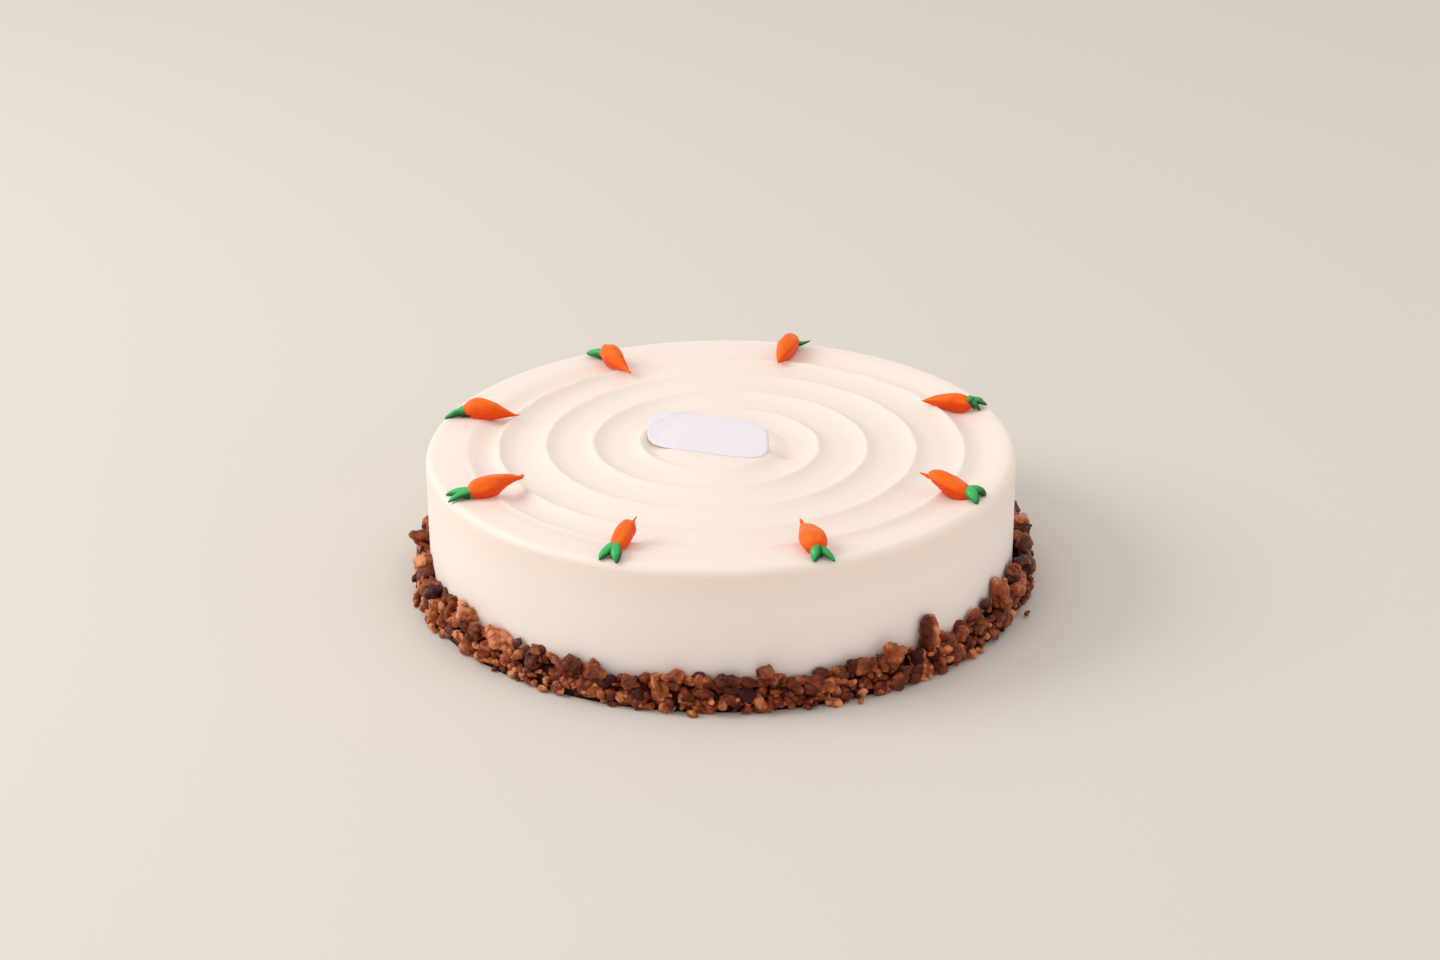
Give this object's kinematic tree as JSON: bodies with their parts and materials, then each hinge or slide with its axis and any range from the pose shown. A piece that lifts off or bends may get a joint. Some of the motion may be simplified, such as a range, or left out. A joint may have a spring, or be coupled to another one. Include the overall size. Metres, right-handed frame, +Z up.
{
  "type": "carrot cake",
  "caption": "Round uncut carrot cake with a spiral-combed frosted top, piped buttercream carrots, a thin blank plaque and a band of chopped nuts round its foot.",
  "frame": {"origin": "middle of the underside, where the cake rests", "axes": "+Z up, -Y towards the side that faces the viewer, +X to the viewer's right"},
  "size_m": [0.257, 0.257, 0.0661],
  "materials": {
    "frosting": "smooth moist cream frosting, soft uneven gloss",
    "chopped_nuts": "caramelised chopped nuts, mixed browns, slightly glossy",
    "orange_buttercream": "soft-gloss coloured buttercream",
    "green_buttercream": "soft-gloss coloured buttercream",
    "sugar_sheet": "matt white sugar sheet"
  },
  "bodies": {
    "root": {"frosted_cake": "frosting", "nut_crumb_band": "chopped_nuts", "tall_nut_piece": "chopped_nuts", "blank_plaque": "sugar_sheet", "carrot_1_root": "orange_buttercream", "carrot_2_root": "orange_buttercream", "carrot_3_root": "orange_buttercream", "carrot_4_root": "orange_buttercream", "carrot_5_root": "orange_buttercream", "carrot_6_root": "orange_buttercream", "carrot_7_root": "orange_buttercream", "carrot_8_root": "orange_buttercream", "carrot_1_greens": "green_buttercream", "carrot_2_greens": "green_buttercream", "carrot_3_greens": "green_buttercream", "carrot_4_greens": "green_buttercream", "carrot_5_greens": "green_buttercream", "carrot_6_greens": "green_buttercream", "carrot_7_greens": "green_buttercream", "carrot_8_greens": "green_buttercream"}
  },
  "joints": []
}
